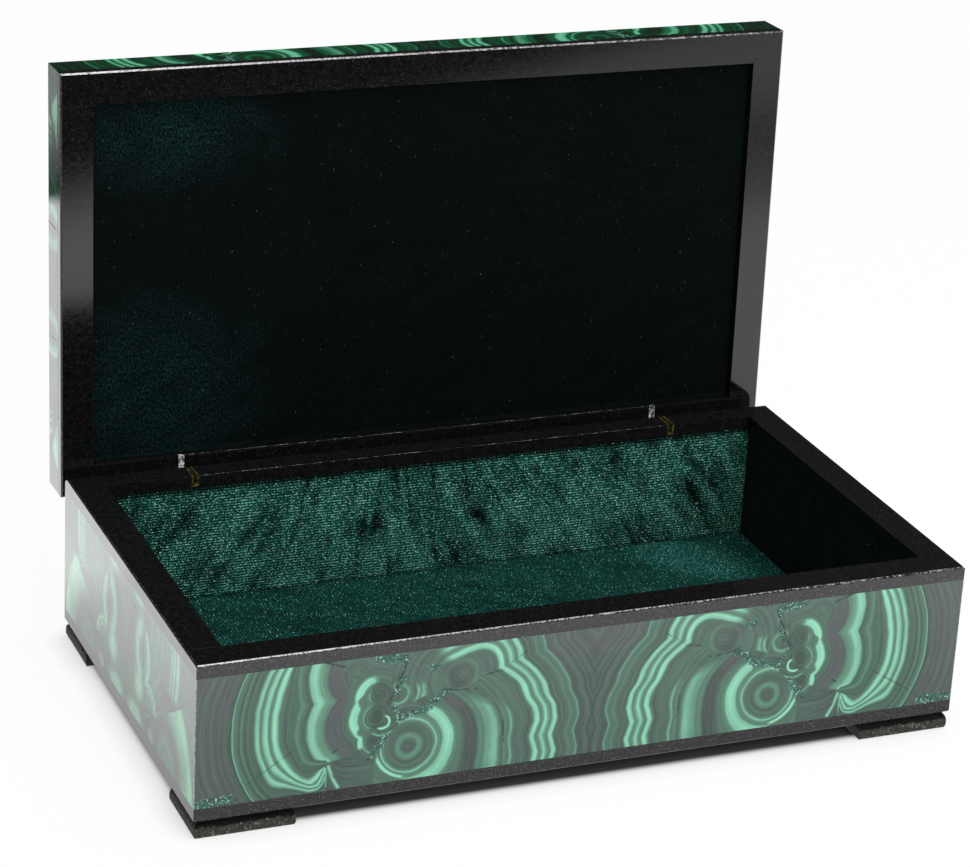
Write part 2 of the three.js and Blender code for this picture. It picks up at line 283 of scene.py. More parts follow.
stage = dict(floorSize=9.0, floorShade=0.86, underBoxPaintedShade=0.1, paper=0.95, contact=0.01, fill=0.34)
# glow levels of the painted reflection of the table, seen only by mirror rays; wall is also the world's level
# for them
table = dict(near=0.8, front=1.66, far=1.84, right=1.66, side=2.05, behind=0.6, wall=0.03)


def lightPath(tree, output):
    return Field(tree, tree.nodes.new("ShaderNodeLightPath").outputs[output])


def paintedTableGlow(x, y, away, t):  # a painted reflection: the floor glows for mirror rays, so polished stone sees a bright table with darkness beyond its edges
    frontEdge = spread((y + x * 0.584 + 377) / spread(x, 60, 250, 42, 13), -1, 1)
    rear = x * 0.36 - y + 508
    nearWall = spread(away, 6, 42, 0.6, 1.0) - spread(away, 60, 160, 0.0, 0.13)
    leftness = spread(x - y * 0.25, -150, -60, 1.0, 0.0, smooth=True)
    rightness = spread(x, 120, 190)
    ahead = blendOf(rightness, spread(y, -85, -185, t["near"], t["front"]), t["right"])
    ahead = blendOf(spread(y, -190, -285), ahead, spread(x, 120, 190, t["far"], t["right"]))
    dip = spread(y, -270, -335, 0.0, 0.55) + spread(y, -335, -400, 0.0, 0.15)
    dip = dip - spread(y, -430, -500, 0.0, 0.33)
    darkStrip = spread(y, -252, -236) * spread(y, -186, -198) * (1 - rightness)
    ahead = ahead * (1 - dip * rightness) * (1 - darkStrip)
    glow = blendOf(leftness, ahead, nearWall * t["side"]) * frontEdge * spread(rear, -8, 8)
    behind = spread(rear, -20, -130, 0.05, t["behind"]) * spread(rear, 0, -12) * leftness
    return glow + behind + t["wall"]


def makeFloor(s):
    half = s["floorSize"] / 2
    mesh = bpy.data.meshes.new("studio_floor")
    corners = [(-half, -half, 0), (half, -half, 0), (half, half, 0), (-half, half, 0)]
    mesh.from_pydata(corners, [], [(0, 1, 2, 3)])
    obj = bpy.data.objects.new("studio_floor", mesh)
    bpy.context.scene.collection.objects.link(obj)
    material, tree, shader, point = newMaterial("paper_floor")
    x, y = apart(inMm(point))[:2]
    away = pastWalls(x, y)
    # what the camera sees: white paper that keeps a soft shadow at the feet; under the box the paper's colour
    # is painted dark and its white glow is left off, a painted shade
    diffuse, paintedReflection, white, paper, mix = (tree.nodes.new("ShaderNode" + kind) for kind in
                                         ("BsdfDiffuse", "Emission", "Emission", "MixShader", "MixShader"))
    # painted shade: the paper's own colour turns dark inside the box's footprint
    shade = spread(away, -4.2, -1.8, s["underBoxPaintedShade"], s["floorShade"])
    plug(tree, together(tree, shade, shade, shade), diffuse.inputs[0])
    openness = tree.nodes.new("ShaderNodeAmbientOcclusion")
    dial(openness, {"Distance": s["contact"]})
    contact = spread(Field(tree, openness.outputs["AO"]), 0.4, 0.95, 0.6, 1.0)
    outside = spread(away, -3.6, -1.4)
    plug(tree, lightPath(tree, "Is Camera Ray") * contact * outside * s["paper"], paper.inputs[0])
    # painted reflection: for mirror rays the floor glows by this map instead of being lit
    plug(tree, paintedTableGlow(x, y, away, table), paintedReflection.inputs["Strength"])
    plug(tree, lightPath(tree, "Is Glossy Ray"), mix.inputs[0])
    for first, second, joined in ((diffuse, white, paper), (paper, paintedReflection, mix)):
        tree.links.new(first.outputs[0], joined.inputs[1])
        tree.links.new(second.outputs[0], joined.inputs[2])
    tree.links.new(mix.outputs[0], tree.nodes["Material Output"].inputs[0])
    tree.nodes.remove(shader)
    mesh.materials.append(material)


def makeWorld(s):
    world = bpy.data.worlds.new("studio")
    bpy.context.scene.world = world
    world.use_nodes = True
    tree = world.node_tree
    seen = lightPath(tree, "Is Camera Ray")
    unseen = blendOf(lightPath(tree, "Is Glossy Ray"), s["fill"], table["wall"])
    dial(tree.nodes["Background"], {"Color": (1, 1, 1, 1), "Strength": seen + (1 - seen) * unseen})


lamps = {
    "overhead_softbox": dict(
        place=(0.2, -0.15, 1.25), aim=(0, 0, 0.03), size=(1.3, 1.1), power=12.5, mirrored=True,
    ),
    "front_softbox": dict(
        place=(0.3, -1.4, 0.8), aim=(0, 0, 0.05), size=(1.0, 0.8), power=12.0, mirrored=False,
    ),
}


def makeLamp(name, l):
    data = bpy.data.lights.new(name, "AREA")
    data.shape = "RECTANGLE"
    data.size, data.size_y = l["size"]
    data.energy = l["power"]
    obj = bpy.data.objects.new(name, data)
    place = Vector(l["place"])
    obj.location = place
    obj.rotation_euler = (Vector(l["aim"]) - place).to_track_quat("-Z", "Y").to_euler()
    obj.visible_glossy = l["mirrored"]
    bpy.context.scene.collection.objects.link(obj)


makeFloor(stage)
makeWorld(stage)
for name, settings in lamps.items():
    makeLamp(name, settings)
print("camera, floor and lamps ready")

# black stone

blackStone = dict(
    dark="#0b0b0b", pale="#191819", fleck="#b4b1b3", cloud="#3d3a3f", arris="#e8e6e6",
    rough=0.045, fleckSize=0.4, grainSize=0.32, lidPaintedShade=0.3, edgeLineFrom=49.16,
)


def edgeWearAndGlint(tree, x, y, z, facing, s):  # partly a ground, pale arris and partly a painted highlight: a bright line at the front top, brighter to the left, and painted glint dashes at the rear
    ny, nz = apart(facing)[1:]
    fray = cloud(together(tree, x, y, z * 1.4), 0.7, 4, 0.7)
    line = spread(fray - spread(x, -60, 100, 0.0, 0.14), 0.36, 0.5) * spread(x, -106, -40, 0.8, 0.5)
    ragged = spread(z + (fray - 0.5) * 0.9, s["edgeLineFrom"], s["edgeLineFrom"] + 0.14)
    along = cloud(together(tree, x, y * 0.2, z * 0.2), 3.2, 3, 0.7)
    dashes = spread(along, 0.47, 0.6) * spread(fray, 0.35, 0.55) * spread(y, 20, 30)
    paleEdgeGlint = line * ragged * spread(y, -71.0, -71.4) + dashes
    frontTop = spread(ny, -0.4, -0.6) * spread(nz, 0.4, 0.6)
    return paleEdgeGlint * frontTop + spread(fray, 0.5, 0.62) * 0.1


def makeBlackStone(s, name):
    material, tree, shader, point = newMaterial(name)
    onLid = name.startswith("lid")
    point = inMm(lidFlat(point) if onLid else point)
    x, y, z = apart(point)
    grain = cloud(point, 1.6, 3, 0.6)
    color = mixColor(spread(grain, 0.35, 0.7), s["dark"], s["pale"])
    chance = apart(cells(point, s["fleckSize"], output="Color"))[0]
    fleck = spread(cells(point, s["fleckSize"]), 0.14, 0.4, 1.0, 0.0) * spread(chance, 0.6, 1.0)
    facing = Field(tree, tree.nodes.new("ShaderNodeTexCoord").outputs["Normal"])
    upward = apart(facing)[2]
    arris = arrisOf(facing)
    rough = s["rough"] + fleck * 0.2 + arris * 0.4 + spread(grain, 0.3, 0.7, 0.0, 0.05)
    fleckAmount = 0.1
    if onLid:
        # painted shade: the lid's copy of the stone is darker than the base's
        color = mixColor(s["lidPaintedShade"], color, "#000000")
    else:  # the upright outer faces are painted paler, with cloudy patches and more flecks, a painted sheen, and the faces towards the velvet don't mirror it
        past = pastWalls(x, y)
        uprightSheen = spread(past, -0.5, -0.3) * spread(upward, 0.7, 0.3)
        # painted sheen: pale cloudy patches on the upright outer faces only
        color = mixColor(uprightSheen * spread(cloud(point, 0.5, 3, 0.75), 0.42, 0.75) * 0.8, color, s["cloud"])
        fleckAmount = uprightSheen * 0.4 + 0.1
        inside = spread(past, -8.4, -8.8) * spread(upward, 0.6, 0.2)
        rough = rough + inside * 0.35
        plug(tree, 0.5 - inside * 0.42, shader.inputs["Specular IOR Level"])
    color = mixColor(fleck * fleckAmount, color, s["fleck"])
    # painted highlight, partly a pale ground arris: the bright edge lines on the bevels
    color = mixColor(arris * edgeWearAndGlint(tree, x, y, z, facing, s), color, s["arris"])
    dial(shader, {"Base Color": color, "Roughness": rough})
    height = cloud(point, s["grainSize"], 2, 0.6) * 1.3 + cloud(point, 2.4, 1, 0.5) - fleck * 0.5
    relief(tree, shader, height, 0.04, 0.00008)
    return material


# malachite

rightBands = [  # how light the bands round the big eye are, against the distance from it in mm
    (0, .1), (1.6, .12), (2.5, .5), (3.0, .62), (3.5, .46), (4.3, .16), (6.6, .24), (7.2, .5), (7.6, .9),
    (8.1, .5), (9.1, .46), (9.8, .84), (11.0, 1), (12.2, .88), (13.1, .42), (14.5, .34), (15.6, .1),
    (17.7, 0), (19.2, .2), (20.2, .44), (20.9, .38), (22.0, .62), (24.6, .78), (25.6, .46), (26.2, .1),
    (27.2, .36), (28.2, .32), (28.9, .72), (29.4, .3), (31.0, .12), (32.3, .28), (33.6, .1),
]
rightOuter = [  # and further out
    (33.6, .1), (34.6, .26), (35.2, .8), (36.1, .97), (36.9, .5), (37.3, .42), (38.4, .94), (39.3, .6),
    (39.9, .42), (40.6, .9), (41.3, .93), (42.1, .2), (43.2, .22), (44.0, .08), (44.8, .3), (45.4, .45),
    (45.7, .2), (46.0, .42), (46.3, .18), (46.6, .4), (47.2, .3), (47.7, .62), (48.1, .1), (50.2, .06),
    (50.7, .2), (51.2, .06), (53.8, .08), (54.3, .2), (54.9, .06), (60.5, .06), (61, .16), (61.6, .06),
]
leftBands = [  # the same to the left, from the cluster outwards
    (0, .12), (1.5, .16), (2.2, .3), (2.8, .22), (4.4, .2), (4.9, .76), (5.3, .3), (6.2, .42), (6.9, .96),
    (8.5, .95), (9.2, .36), (9.9, .2), (10.6, .34), (11.3, .16), (12.6, .02), (13.7, .03), (14.0, .16),
    (14.5, .03), (16.2, .06), (17.2, .45), (18.3, .62), (20.3, .86), (21.3, .8), (22.0, .16), (22.8, .26),
    (23.6, .3), (24.4, .5), (24.9, .26), (26.6, .18), (28.4, .12),
]
leftOuter = [  # and further out
    (28.4, .12), (29.4, .2), (30.2, .86), (31.2, .97), (31.9, .5), (32.3, .42), (33.0, .94), (33.8, .86),
    (34.4, .44), (34.8, .46), (35.4, .9), (36.1, .7), (36.8, .22), (37.6, .16), (38.1, .34), (38.5, .14),
    (39.2, .22), (39.9, .46), (40.3, .2), (41.0, .3), (41.7, .22), (42.2, .8), (42.6, .1), (44.4, .06),
    (44.9, .16), (45.5, .06), (50.0, .05), (50.5, .14), (51.1, .05),
]
smallBands = [  # round the small eye beside the vein
    (0, .2), (2.2, .16), (2.7, .7), (3.1, .6), (3.7, .24), (4.9, .24), (5.5, .86), (6.0, .6), (6.4, .5),
    (7.0, .9), (7.7, .8), (8.3, .24), (9.0, .3), (10.0, .2),
]
fanBands = [  # in the low fan of the short sides
    (0, .5), (1.5, .3), (3.0, .46), (4.6, .22), (6.2, .42), (7.6, .2), (9.0, .08), (11.5, .1),
    (13.2, .44), (15.0, .68), (17.5, .8), (21.8, .95), (23.0, .8), (23.8, .3), (24.8, .5), (25.6, .2),
    (27.0, .36), (28.0, .14), (29.4, .3), (30.4, .1), (34.0, .05),
]
tallBands = [  # in the tall bands above it
    (0, .1), (12.0, .1), (14.0, .34), (16.6, .14), (19.0, .42), (21.4, .16), (23.6, .5), (25.4, .2),
    (27.2, .4), (29.4, .12), (30.2, .5), (31.0, .3), (31.8, .9), (32.6, .4), (33.0, .4), (34.2, .95),
    (35.0, .45), (35.6, .5), (36.8, .95), (38.2, .8), (38.8, .3), (39.8, .4), (40.4, .1), (44.0, .1),
    (44.8, .2), (45.6, .08), (48.0, .06),
]
arcBands = [  # in the small arcs under the lens eye
    (0, .1), (1.6, .2), (2.2, .5), (2.8, .2), (3.5, .3), (4.2, .85), (4.8, .5), (5.3, .6), (6.0, .9),
    (6.8, .7), (7.5, .1), (8.2, .15), (8.8, 0),
]
rightPurples = [  # how purple the dark bands are, against the same distances
    (0, 0), (14.8, 0), (16.0, .9), (18.6, .95), (20.0, 0), (29.0, .1), (31.0, .55), (34.5, .1),
    (43.5, .2), (45.0, .45), (47.0, 0), (49.0, .8), (66.0, .9),
]
leftPurples = [
    (0, 0), (10.0, .2), (12.5, .9), (16.5, .9), (18.0, 0), (28.0, .1), (29.0, .3), (43.0, .2),
    (44.0, .85), (60.0, .9),
]


def bandTone(reach, stops):
    span = stops[-1][0]
    return ramp(reach / span, [(place / span, tone) for place, tone in stops])


def splitTone(reach, inner, outer):  # a colour ramp holds 32 stops, so a long run of bands takes two
    start = outer[0][0]
    far = bandTone(reach - start, [(place - start, tone) for place, tone in outer])
    return blendOf(spread(reach, start - 0.3, start), bandTone(reach, inner), far)


def reachOf(point, u, v, offset=0.0, rate=1.0):
    return arrow("DISTANCE", point, (u, v, 0.0)) * rate + offset


def alongStroke(point, start, end):  # distance from a straight stroke
    start, end = Vector((*start, 0)), Vector((*end, 0))
    run = end - start
    away = arrow("SUBTRACT", point, tuple(start))
    share = calc("MULTIPLY", arrow("DOT_PRODUCT", away, tuple(run)), 1 / run.length_squared, clamp=True)
    return arrow("DISTANCE", away, arrow("SCALE", together(point.tree, *run), scale=share))


def patch(point, u, v, ru, rv, soft=0.45):  # soft-edged oval, 1 inside
    away = arrow("MULTIPLY", arrow("SUBTRACT", point, (u, v, 0.0)), (1 / ru, 1 / rv, 0.0))
    return spread(arrow("LENGTH", away), 1 - soft, 1 + soft, 1.0, 0.0, smooth=True)


def nearest(point, strokes):  # each stroke has its two ends and half its width
    return least(*(alongStroke(point, (u, v), (toU, toV)) - half for u, v, toU, toV, half in strokes))


def finishPattern(tree, leave, point, still, tone, reach, purple, crystals, cracks):
    fine = cloud(together(tree, reach, cloud(still, 14, 1), 0.0), 0.8, 5, 0.8) - 0.5
    tone = tone + fine * spread(tone, 0.05, 0.7, 1.3, 0.7)
    tone = tone * (0.82 + cloud(still, 8, 3) * 0.36) + (cloud(still, 0.9, 3, 0.7) - 0.5) * 0.07
    purple = purple + (cloud(still, 5, 2) - 0.5) * 0.5 + fine * 1.6
    rag = cloud(point, 1.3, 3, 0.6)
    crystal = spread(nearest(point, crystals) + (rag - 0.5) * 3.4, 0.35, -0.35)
    thread = nearest(point, cracks) + (cloud(point, 0.7, 2) - 0.5) * 0.4
    crack = spread(thread, 0.0, 0.25, 1.0, 0.0) * spread(cloud(point, 1.8, 2), 0.42, 0.52)
    results = (calc("ADD", tone, 0.0, clamp=True), calc("ADD", purple, 0.0, clamp=True), crystal, crack)
    for part, socket in zip(results, leave.inputs):
        plug(tree, part, socket)


def warped(u, v, amount):
    tree = u.tree
    still = together(tree, u, v)
    drift = arrow("SUBTRACT", cloud(still, 9, 1, color=True), (0.5, 0.5, 0.5))
    ripple = arrow("SUBTRACT", cloud(still, 2.6, 1, color=True, seed=3.0), (0.5, 0.5, 0.5))
    point = arrow("ADD", still, arrow("MULTIPLY", drift, (1.2 * amount, 1.2 * amount, 0.0)))
    point = arrow("ADD", point, arrow("MULTIPLY", ripple, (0.35 * amount, 0.35 * amount, 0.0)))
    return still, point


def frontPattern():  # u: distance from the seam, v: height above the table, both in mm
    tree, (u0, v0), leave = newPattern("front_eyes")
    still, point = warped(u0, v0, 0.8)
    u, v = apart(point)[:2]
    # the big eye: round inside, taller and lobed further out
    du, dv = u - 52, v - 18.7
    circle = calc("SQRT", du * du + dv * dv)
    upper = spread(dv, -0.4, 0.4)
    stretch = blendOf(upper, spread(circle, 12, 28, 1.0, 0.05), spread(circle, 12, 28, 1.0, 1.33))
    big = calc("SQRT", du * du + dv * dv * stretch * stretch)
    cusp = spread(gap(v, 16.1), 0, 4.5, 1.2, -0.1) + spread(v, 11, 8, 0.0, 0.5)
    cusp = cusp + spread(gap(v, 28.3), 0, 4, 0.5, -0.2, smooth=True)
    big = big + spread(big, 24, 36) * cusp
    oval = alongStroke(point, (40, 36.5), (33, 38.8)) * 0.96 + 29.9
    overVein = spread(v - 33.4 - spread(u, 42, 50, 0.0, -6.0), -0.3, 0.6) * spread(u, 33, 35)
    right = least(big + overVein * 30, oval)
    tone = splitTone(right, rightBands, rightOuter)
    isOval = spread(big + overVein * 30 - oval, -0.2, 0.2)
    onOval = isOval * spread(right, 33.5, 34.5, 1.0, 0.0)
    ovalHeart = alongStroke(point, (38.5, 37.2), (37.5, 37.4))
    ring = spread(gap(ovalHeart, 4.2), 0, 0.7, 0.3, 0.0)
    tone = blendOf(onOval, tone, ring * 0.7 + 0.2)
    tone = tone * blendOf(isOval, 1.0, spread(u - (v - 40) * 0.8, 38.5, 43.5, 1.0, 0.2))
    # where the ribbons of the big eye fade out against the vein
    beyond = spread(arrow("DOT_PRODUCT", point, (-0.4, 1.0, 0.0)) - 16.6, -1.5, 1.0)
    beyond = beyond * spread(right, 13.5, 15) * spread(right, 33, 34.4, 1.0, 0.0) * (1 - onOval)
    tone = blendOf(beyond, tone, 0.22)
    # the bright band ends in a point at the top, and a thin crescent lies lower left
    topEnd = spread(u - dv * 0.25 + 2.2, 46.5, 49.5) * upper * spread(circle, 8.6, 9.4)
    tone = blendOf(topEnd, tone, 0.2)
    inLeft = spread(u, 52.5, 54)
    rim = spread(gap(circle, 9.0), 0.3, 0.65, 0.9, 0.2) * spread(v, 19, 15) + 0.14
    tone = blendOf(inLeft * spread(circle, 7.9, 8.1), tone, rim)
    # small eye beside the vein
    small = reachOf(point, 55.4, 34)
    isSmall = spread(small, 9.6, 8.8) * spread(u, 57.2, 56.8) * spread(v + (u - 50) * 0.35, 31.2, 31.9)
    angled = spread(v, 40, 36, 0.15, 1.0)
    tone = blendOf(isSmall, tone, bandTone(small, smallBands) * angled)
    # the cluster to the left, two lobes and a little one, and the ribbons beyond
    near = least(reachOf(point, 61.5, 28.3, 1.5), reachOf(point, 61.2, 34.4, 2.8))
    near = least(near, reachOf(point, 61.6, 21.0, 1.9, 1.5))
    far = least(reachOf(point, 65, 27), reachOf(point, 66.4, 41, 1.6)) + 6.4
    corner = arrow("MULTIPLY", arrow("SUBTRACT", point, (72.0, 28.0, 0.0)), (1.0, -0.92, 0.0))
    above = calc("MAXIMUM", v - 29.5, 0.0)
    corner = arrow("LENGTH", arrow("MAXIMUM", corner, (0.0, 0.0, 0.0))) + above * above * 0.0145
    crowd = calc("MAXIMUM", corner - 16.5, 0.0) * spread(u, 90, 79, 0.0, 1.3, smooth=True)
    hookEnd = calc("POWER", spread(u, 77.0, 74.4), 2.0) * 5.0
    upturn = crowd + spread(u, 80.0, 74.6, 0.0, 4.2, smooth=True) + hookEnd
    corner = corner + upturn * spread(v, 21, 15, smooth=True)
    left = blendOf(spread(near, 10.2, 12.4), near, far)
    left = blendOf(most(spread(far, 24.2, 27), spread(v, 18.5, 15) * spread(u, 73.6, 75)), left, corner + 14)
    leftTone = splitTone(left, leftBands, leftOuter)
    waist = least(gap(v, 33.2), gap(v, 23.8), gap(v, 41))
    waist = spread(near - spread(waist, 0.0, 3.0, 2.2, 0.0, smooth=True), 5.4, 6.2) * spread(near, 9.6, 9.0)
    leftTone = blendOf(waist * (1 - spread(near, 5.6, 6.2)), leftTone, 0.24)
    taper = spread(near, 5.6, 6.4) * spread(near, 9.6, 9.0) * (1 - waist)
    leftTone = blendOf(taper, leftTone, leftTone * 0.2 + 0.16)
    fade = u + spread(near, 5.4, 6.6, -2.0, 1.2) - spread(v, 24, 23, 0.0, 1.6) - spread(v, 35, 38.5, 0.0, 2.0)
    leftTone = leftTone * most(spread(near, 9.2, 12), spread(fade, 59.6, 61.4, 0.25, 1.0))
    low = spread(v + (u - 74.4) * 0.3, 17.2, 16.4) * spread(u, 74.6, 74.2)
    strokes = alongStroke(point, (73.9, 15.8), (73.0, 12.4))
    strokes = least(strokes, alongStroke(point, (73.0, 12.4), (71.2, 9.2)))
    lowTone = spread(strokes, 0.2, 0.8, 0.85, 0.08) + spread(u, 74, 66, 0.0, 0.08)
    leftTone = blendOf(low * spread(near, 6.5, 7.5), leftTone, lowTone)
    hook = reachOf(point, 59.4, 26.4)
    hooks = spread(gap(hook, 3.8), 0.1, 0.4, 0.6, 0.0) * spread(v, 24, 23.4)
    hooks = most(spread(gap(hook, 1.8), 0.15, 0.5, 1.0, 0.0), hooks)
    hooks = hooks * most(spread(v, 25.6, 25.0), spread(u, 59.2, 58.6)) * spread(v, 28.6, 28)
    hookZone = spread(hook, 4.6, 4.2) * most(spread(u, 60, 59.4), spread(v, 25.2, 24.8))
    isLeft = spread(u - 57.4 - spread(v, 30, 24, 0.0, 1.2), -0.2, 0.2) * spread(v, 23.0, 24.5)
    besideEye = spread(u - 59.6 + spread(v, 20, 12, 0.0, -2.6), -0.2, 0.2)
    isLeft = most(isLeft, besideEye * spread(circle, 8.6, 9.2))
    isLeft = most(isLeft, spread(u, 61.2, 61.6) * spread(circle, 9.5, 9.8))
    tone = blendOf(isLeft, tone, leftTone)
    tone = blendOf(hookZone, tone, hooks + 0.16)
    quiet = most(
        patch(point, 49.5, 41.0, 6, 5, 0.3), patch(point, 57.5, 43, 9, 3.6, 0.3),
        patch(point, 66, 44.6, 7, 2.6, 0.4), patch(point, 44.5, 35, 3.5, 4.5),
    )
    tone = blendOf(quiet, tone, tone * 0.1 + 0.22)
    reach = blendOf(isLeft, blendOf(onOval, right, ovalHeart), left)
    rightPurple = blendOf(overVein, bandTone(right, rightPurples), 0.35)
    purple = blendOf(isLeft, rightPurple, bandTone(left, leftPurples))
    purple = blendOf(most(quiet, low, onOval), purple, 0.5)
    crystals = (
        (61, 45.4, 54, 44, 1.3), (46.6, 40.6, 45, 40.6, 0.8), (53.4, 43, 55, 38.5, 0.1),
        (54.4, 38.6, 56, 34.5, 0.8), (57, 31.5, 55.2, 27.3, 0.3), (54.8, 26.9, 47.5, 28.6, 0.9),
        (47.5, 28.6, 42, 33, 1.1), (62, 17, 58.6, 22, 0.9), (112, 9.9, 100, 10.4, 1.3),
    )
    cracks = (
        (31.3, 36.3, 26.3, 37.1, 0.12), (26.3, 37.5, 20, 41.5, 0.02), (42, 33.4, 33, 32.4, 0.08),
        (25.6, 22.2, 25.1, 15.6, 0.1), (74.5, 18.6, 71.4, 20.6, 0.1), (66, 15.4, 62.6, 16, 0.15),
        (77, 46.3, 69.4, 43.4, 0.15), (96, 14, 84, 21.5, 0.02), (53.2, 43, 58.2, 31, 0.12),
    )
    finishPattern(tree, leave, point, still, tone, reach, purple, crystals, cracks)
    return tree


def sidePattern():  # u: distance from the seam half way back, v: height above the table
    tree, (u0, v0), leave = newPattern("side_eyes")
    still, point = warped(u0, v0, 0.8)
    u, v = apart(point)[:2]
    # a low fan near the corner, cut off by a slanting crack, and tall bands above it
    fan = reachOf(arrow("MULTIPLY", point, (1.0, 0.84, 1.0)), 37.5, 6.5)
    tall = reachOf(point, 10, 43)
    crackLine = v - 24.5 - (u - 38) * 0.58
    tallTone = bandTone(tall, tallBands)
    fanTone = bandTone(fan, fanBands) * most(spread(u + (v - 10) * 0.1, 35, 41), spread(fan, 9.5, 8.5))
    tone = blendOf(spread(fan, 24.5, 27) * spread(crackLine, -0.3, 0.3), fanTone, tallTone)
    tone = blendOf(spread(crackLine, -0.2, 0.2), tone, tallTone * most(spread(v, 29, 32), spread(u, 36, 30)))
    tone = blendOf(spread(u, 21, 17), tone, 0.12) + (cloud(still, 10, 4) - 0.5) * 0.6
    rings = cloud(together(tree, reachOf(point, 24, 33), v * 0.04), 1.5, 4, 0.7) - 0.5
    tone = tone + rings * spread(fan, 24, 27, 0.2, 0.9)
    # the lens eye with its crescents, and the patches above and below it
    lens = arrow("LENGTH", arrow("MULTIPLY", arrow("SUBTRACT", point, (16.4, 31.0, 0.0)), (1.0, 0.72, 0.0)))
    outwards = spread(u, 16.2, 17.2)
    inner = spread(gap(lens, 5.6), 0.6, 4.0, 0.78, 0.0, smooth=True)
    crescent = blendOf(outwards, inner, spread(gap(lens, 4.8), 0.6, 3.2, 0.85, 0.0, smooth=True))
    crescent = crescent * (1 - spread(gap(lens, 4.2), 0.0, 0.3, 0.5, 0.0) * outwards)
    crescent = crescent * spread(gap(u, 16.7), 0.2, 1.8)
    blobs = most(
        patch(point, 12.0, 45.5, 5.5, 2.6, 0.7) * 0.8, patch(point, 14.6, 40.5, 2.2, 4.0, 0.7) * 0.6,
        patch(point, 12.6, 20.2, 4.6, 5.0, 0.7) * 0.85, patch(point, 9.0, 10.2, 7.0, 3.6, 0.5) * 0.8,
        patch(point, 23.6, 10.4, 2.6, 2.2, 0.5) * 0.6,
    )
    small = reachOf(point, 21.6, 18.0)
    arcs = bandTone(small, arcBands)
    arcs = arcs * spread(u - 21.6 + (v - 18.0) * 0.8, -1, 2) * spread(v, 17, 19)
    seam = spread(gap(u0, 0), 0.2, 1.0, 0.3, 0.0) * patch(point, 0, 29, 20, 5)
    tone = most(tone, crescent, blobs, arcs, seam)
    purple = spread(gap(fan, 11.5), 2, 5, 0.9, 0.0) * spread(crackLine, 0.3, -0.3)
    purple = most(purple, spread(v, 18, 26, 0.0, 0.8))
    crystals = ((22, 16.5, 14, 15, 0.2), (16.8, 34, 16.6, 28, -0.4))
    cracks = (
        (50.7, 31.9, 38.5, 25, 0), (9, 41, 7.6, 40.4, 0.15), (23, 14.6, 21, 14, 0.15),
        (16.6, 35, 16.4, 26, 0.08), (34.5, 25.4, 33.8, 25, 0.1),
    )
    finishPattern(tree, leave, point, still, tone, fan, purple, crystals, cracks)
    return tree


def lidPattern():  # u and v: distances from the two seams of the lid's outer face
    tree, (u0, v0), leave = newPattern("lid_eyes")
    still, point = warped(u0, v0, 1.6)
    reach = least(
        reachOf(point, 34, 20, 0, 0.8), reachOf(point, 54, 38, 3.5, 1.1), reachOf(point, 17, 46, 7, 0.95),
        reachOf(point, 82, 48, 4, 0.95), reachOf(point, 95, 12, 12, 0.85), reachOf(point, 4, 60, 16, 0.9),
        reachOf(point, 70, 10, 21, 1.2),
    )
    quiet = most(patch(point, 60, 30, 8, 10), patch(point, 12, 22, 6, 12))
    tone = blendOf(quiet, splitTone(reach, rightBands, rightOuter), 0.2)
    purple = most(bandTone(reach, rightPurples), quiet * 0.35)
    crystals = ((38, 35, 30, 31, 1.2), (66, 42, 60, 20, 0.9), (90, 30, 84, 34, 0.8))
    cracks = ((66, 42, 72, 58, 0.1), (12, 36, 2, 44, 0.1), (100, 30, 109, 26, 0.08))
    finishPattern(tree, leave, point, still, tone, reach, purple, crystals, cracks)
    return tree


patterns = dict(front=frontPattern(), side=sidePattern(), lid=lidPattern())
print("banding patterns ready")

malachites = {  # band colours from dark to light, and how the panel lies on its pattern; each face's colours are painted lighter or darker for how bright that face looks, lit and shaded copies of one malachite
    "front": dict(shades=("#2b4439", "#4b4f51", "#517c68", "#8bd2b2"), pattern="front", axes="xz"),
    "side": dict(shades=("#1f4238", "#4c5256", "#4a8a70", "#92e2ba"), pattern="side", axes="yz"),
    "rear": dict(
        shades=("#213d33", "#38393c", "#2f6f54", "#80caa4"), pattern="front", axes="xz",
        scale=0.86, shift=(9, 3),
    ),
    "lid_front": dict(
        shades=("#061f14", "#0a2117", "#0f5a37", "#6fc79e"), pattern="front", axes="xz",
        shift=(0, -36),
    ),
    "lid_side": dict(
        shades=("#123526", "#1b3229", "#22694a", "#8adcb6"), pattern="side", axes="yz",
        shift=(0, -28),
    ),
    "lid_top": dict(shades=("#12382a", "#1f3029", "#1f6b4b", "#7fd0a8"), pattern="lid", axes="xy"),
}
crystalShades = [(0, "#14302c"), (0.5, "#2a5449"), (0.86, "#3c7565"), (0.95, "#86bfb0"), (1, "#d2eee8")]


